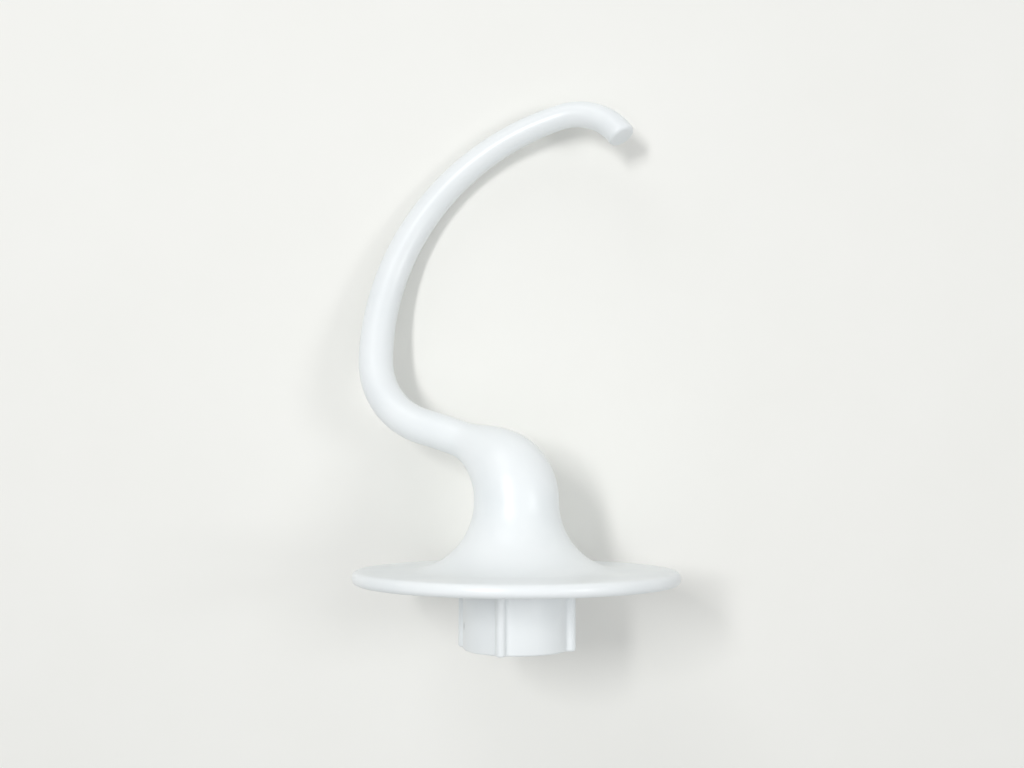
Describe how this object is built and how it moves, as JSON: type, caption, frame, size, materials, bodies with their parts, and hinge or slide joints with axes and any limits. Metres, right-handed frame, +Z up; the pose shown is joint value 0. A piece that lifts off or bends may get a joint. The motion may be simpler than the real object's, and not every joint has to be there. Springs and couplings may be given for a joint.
{
  "type": "stand mixer dough hook",
  "caption": "Dough hook of a stand mixer: a tapering C-shaped arm grows out of a flared neck on a round dough shield, over a ribbed hub with a blind socket for the drive shaft.",
  "frame": {"origin": "middle of the part's bounding box, on the surface that it lies on", "axes": "+Z up from that surface, +Y from the drive socket towards the hook's curl, +X towards the side where the hook is open"},
  "size_m": [0.104, 0.1776, 0.1006],
  "materials": {
    "coat": "smooth glossy white coating over cast aluminium"
  },
  "bodies": {
    "root": {"dough_hook": "coat"}
  },
  "joints": []
}
